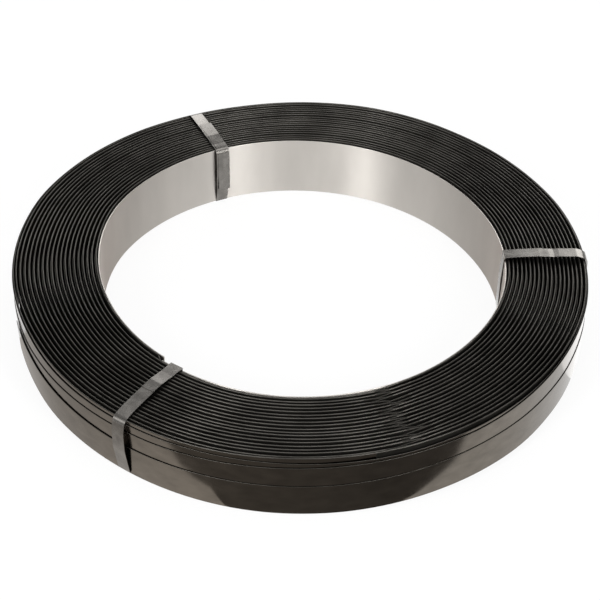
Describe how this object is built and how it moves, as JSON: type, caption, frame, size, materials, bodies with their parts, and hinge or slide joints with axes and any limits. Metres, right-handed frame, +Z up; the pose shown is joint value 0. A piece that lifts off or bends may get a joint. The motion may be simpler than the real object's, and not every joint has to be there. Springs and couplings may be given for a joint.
{
  "type": "steel strapping coil",
  "caption": "Flat ring coil of heavy black steel strapping with a bare steel bore liner, its strap edges standing as rings on both ends, held by light steel tie bands.",
  "frame": {"origin": "on the coil's axis, at floor level", "axes": "+Z up along the coil's axis, +X towards the tie band on the right, -Y towards the picture's viewer"},
  "size_m": [0.5726, 0.5684, 0.0728],
  "materials": {
    "black_strap": "black waxed, satin gloss",
    "liner_steel": "bare cold-rolled",
    "tie_steel": "dull bare steel"
  },
  "bodies": {
    "root": {"strapping_coil": "black_strap", "bore_liner": "liner_steel", "tie_band_right": "tie_steel", "tie_band_back": "tie_steel", "tie_band_front": "tie_steel"}
  },
  "joints": []
}
